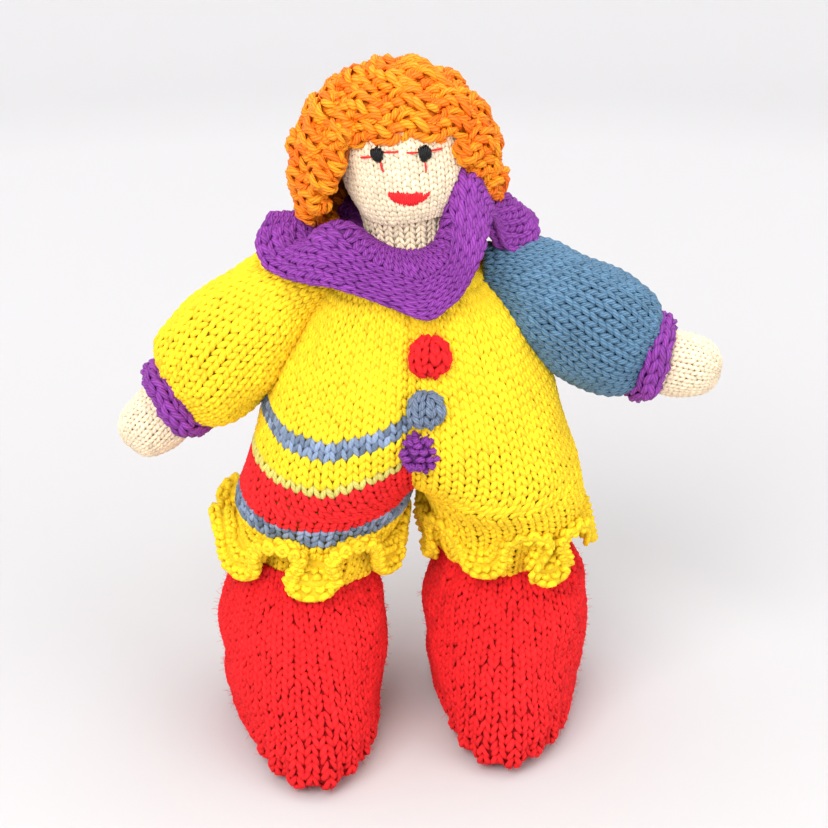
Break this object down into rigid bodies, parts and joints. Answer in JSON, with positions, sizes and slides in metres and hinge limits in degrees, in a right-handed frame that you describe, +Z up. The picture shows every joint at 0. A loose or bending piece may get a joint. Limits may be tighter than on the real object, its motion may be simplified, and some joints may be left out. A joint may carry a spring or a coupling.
{
  "type": "knitted clown doll",
  "caption": "Hand-knitted stuffed clown doll with ruffled collar, puffed sleeves, striped body half, ankle frills and large soft boots, jointed at neck, shoulders, wrists, hips and ankles.",
  "frame": {"origin": "middle of the doll's bounding box on the floor, between the boots", "axes": "+Z up, the doll faces -Y, its left hand is on +X"},
  "size_m": [0.25, 0.1368, 0.2849],
  "materials": {
    "yellow_yarn": "matte knitted stockinette, bright yellow double-knit yarn",
    "striped_yarn": "matte knitted stockinette, yellow with red, blue-grey marl and pale green marl stripes",
    "red_yarn": "soft fuzzy red yarn, knitted",
    "marled_yarn": "blue-grey marled yarn, knitted",
    "blue_yarn": "matte knitted stockinette, dusty blue yarn",
    "purple_yarn": "slightly glossy plied purple yarn, knitted",
    "orange_yarn": "plied bright orange yarn in ruffled corded rows",
    "cream_yarn": "fine cream yarn, knitted",
    "black_thread": "black satin stitch",
    "red_thread": "red embroidery thread",
    "red_felt": "red satin stitch over a padded shape",
    "stuffing": "white polyester fibre fill"
  },
  "bodies": {
    "torso": {"torso_cover_left": "yellow_yarn", "torso_cover_right": "striped_yarn", "torso_stuffing": "stuffing", "collar": "purple_yarn", "bobble_red": "red_yarn", "bobble_blue": "marled_yarn", "bobble_purple": "purple_yarn"},
    "neck": {"neck_rib": "cream_yarn", "neck_stuffing": "stuffing"},
    "head": {"head_cover": "cream_yarn", "head_stuffing": "stuffing", "eye_left": "black_thread", "eye_right": "black_thread", "eye_stitches_left": "red_thread", "eye_stitches_right": "red_thread", "mouth": "red_felt", "hair_row_1": "orange_yarn", "hair_row_2": "orange_yarn", "hair_row_3": "orange_yarn", "hair_row_4": "orange_yarn", "hair_row_5": "orange_yarn"},
    "shoulder_left": {"shoulder_gather_left": "blue_yarn"},
    "arm_left": {"sleeve_left": "blue_yarn", "sleeve_stuffing_left": "stuffing", "cuff_left": "purple_yarn"},
    "hand_left": {"hand_left": "cream_yarn", "hand_stuffing_left": "stuffing"},
    "leg_left": {"leg_cover_left": "yellow_yarn", "leg_stuffing_left": "stuffing", "ankle_frill_left": "yellow_yarn"},
    "boot_left": {"boot_upper_left": "red_yarn", "boot_sole_left": "red_yarn", "boot_stuffing_left": "stuffing"},
    "shoulder_right": {"shoulder_gather_right": "yellow_yarn"},
    "arm_right": {"sleeve_right": "yellow_yarn", "sleeve_stuffing_right": "stuffing", "cuff_right": "purple_yarn"},
    "hand_right": {"hand_right": "cream_yarn", "hand_stuffing_right": "stuffing"},
    "leg_right": {"leg_cover_right": "striped_yarn", "leg_stuffing_right": "stuffing", "ankle_frill_right": "yellow_yarn"},
    "boot_right": {"boot_upper_right": "red_yarn", "boot_sole_right": "red_yarn", "boot_stuffing_right": "stuffing"}
  },
  "joints": [
    {"name": "neck_turn", "type": "hinge", "parent": "torso", "child": "neck", "pos_m": [-0.00118, 0.0186, 0.2144], "axis": [0, 0, 1], "range_deg": [-35, 35], "deforming": ["collar"]},
    {"name": "neck_nod", "type": "hinge", "parent": "neck", "child": "head", "pos_m": [-0.00118, 0.0186, 0.2249], "axis": [1, 0, 0], "range_deg": [-16, 18], "deforming": ["collar"]},
    {"name": "shoulder_swing_left", "type": "hinge", "parent": "torso", "child": "shoulder_left", "pos_m": [0.04447, 0.0186, 0.196], "axis": [-1, 0, 0], "range_deg": [-40, 80]},
    {"name": "shoulder_lift_left", "type": "hinge", "parent": "shoulder_left", "child": "arm_left", "pos_m": [0.04447, 0.0186, 0.196], "axis": [0, -1, 0], "range_deg": [-8, 50]},
    {"name": "wrist_bend_left", "type": "hinge", "parent": "arm_left", "child": "hand_left", "pos_m": [0.09705, 0.0186, 0.16315], "axis": [0, -1, 0], "range_deg": [-28, 28]},
    {"name": "hip_swing_left", "type": "hinge", "parent": "torso", "child": "leg_left", "pos_m": [0.03632, 0.0186, 0.092], "axis": [-1, 0, 0], "range_deg": [-20, 24]},
    {"name": "ankle_flex_left", "type": "hinge", "parent": "leg_left", "child": "boot_left", "pos_m": [0.03982, 0.0266, 0.06], "axis": [-1, 0, 0], "range_deg": [-12, 12], "deforming": ["ankle_frill_left"]},
    {"name": "shoulder_swing_right", "type": "hinge", "parent": "torso", "child": "shoulder_right", "pos_m": [-0.04682, 0.0186, 0.196], "axis": [-1, 0, 0], "range_deg": [-40, 80]},
    {"name": "shoulder_lift_right", "type": "hinge", "parent": "shoulder_right", "child": "arm_right", "pos_m": [-0.04682, 0.0186, 0.196], "axis": [0, 1, 0], "range_deg": [0, 60]},
    {"name": "wrist_bend_right", "type": "hinge", "parent": "arm_right", "child": "hand_right", "pos_m": [-0.09948, 0.0186, 0.1469], "axis": [0, 1, 0], "range_deg": [-28, 28]},
    {"name": "hip_swing_right", "type": "hinge", "parent": "torso", "child": "leg_right", "pos_m": [-0.03868, 0.0186, 0.092], "axis": [-1, 0, 0], "range_deg": [-20, 24]},
    {"name": "ankle_flex_right", "type": "hinge", "parent": "leg_right", "child": "boot_right", "pos_m": [-0.04568, 0.0106, 0.06], "axis": [-1, 0, 0], "range_deg": [-12, 12], "deforming": ["ankle_frill_right"]}
  ]
}
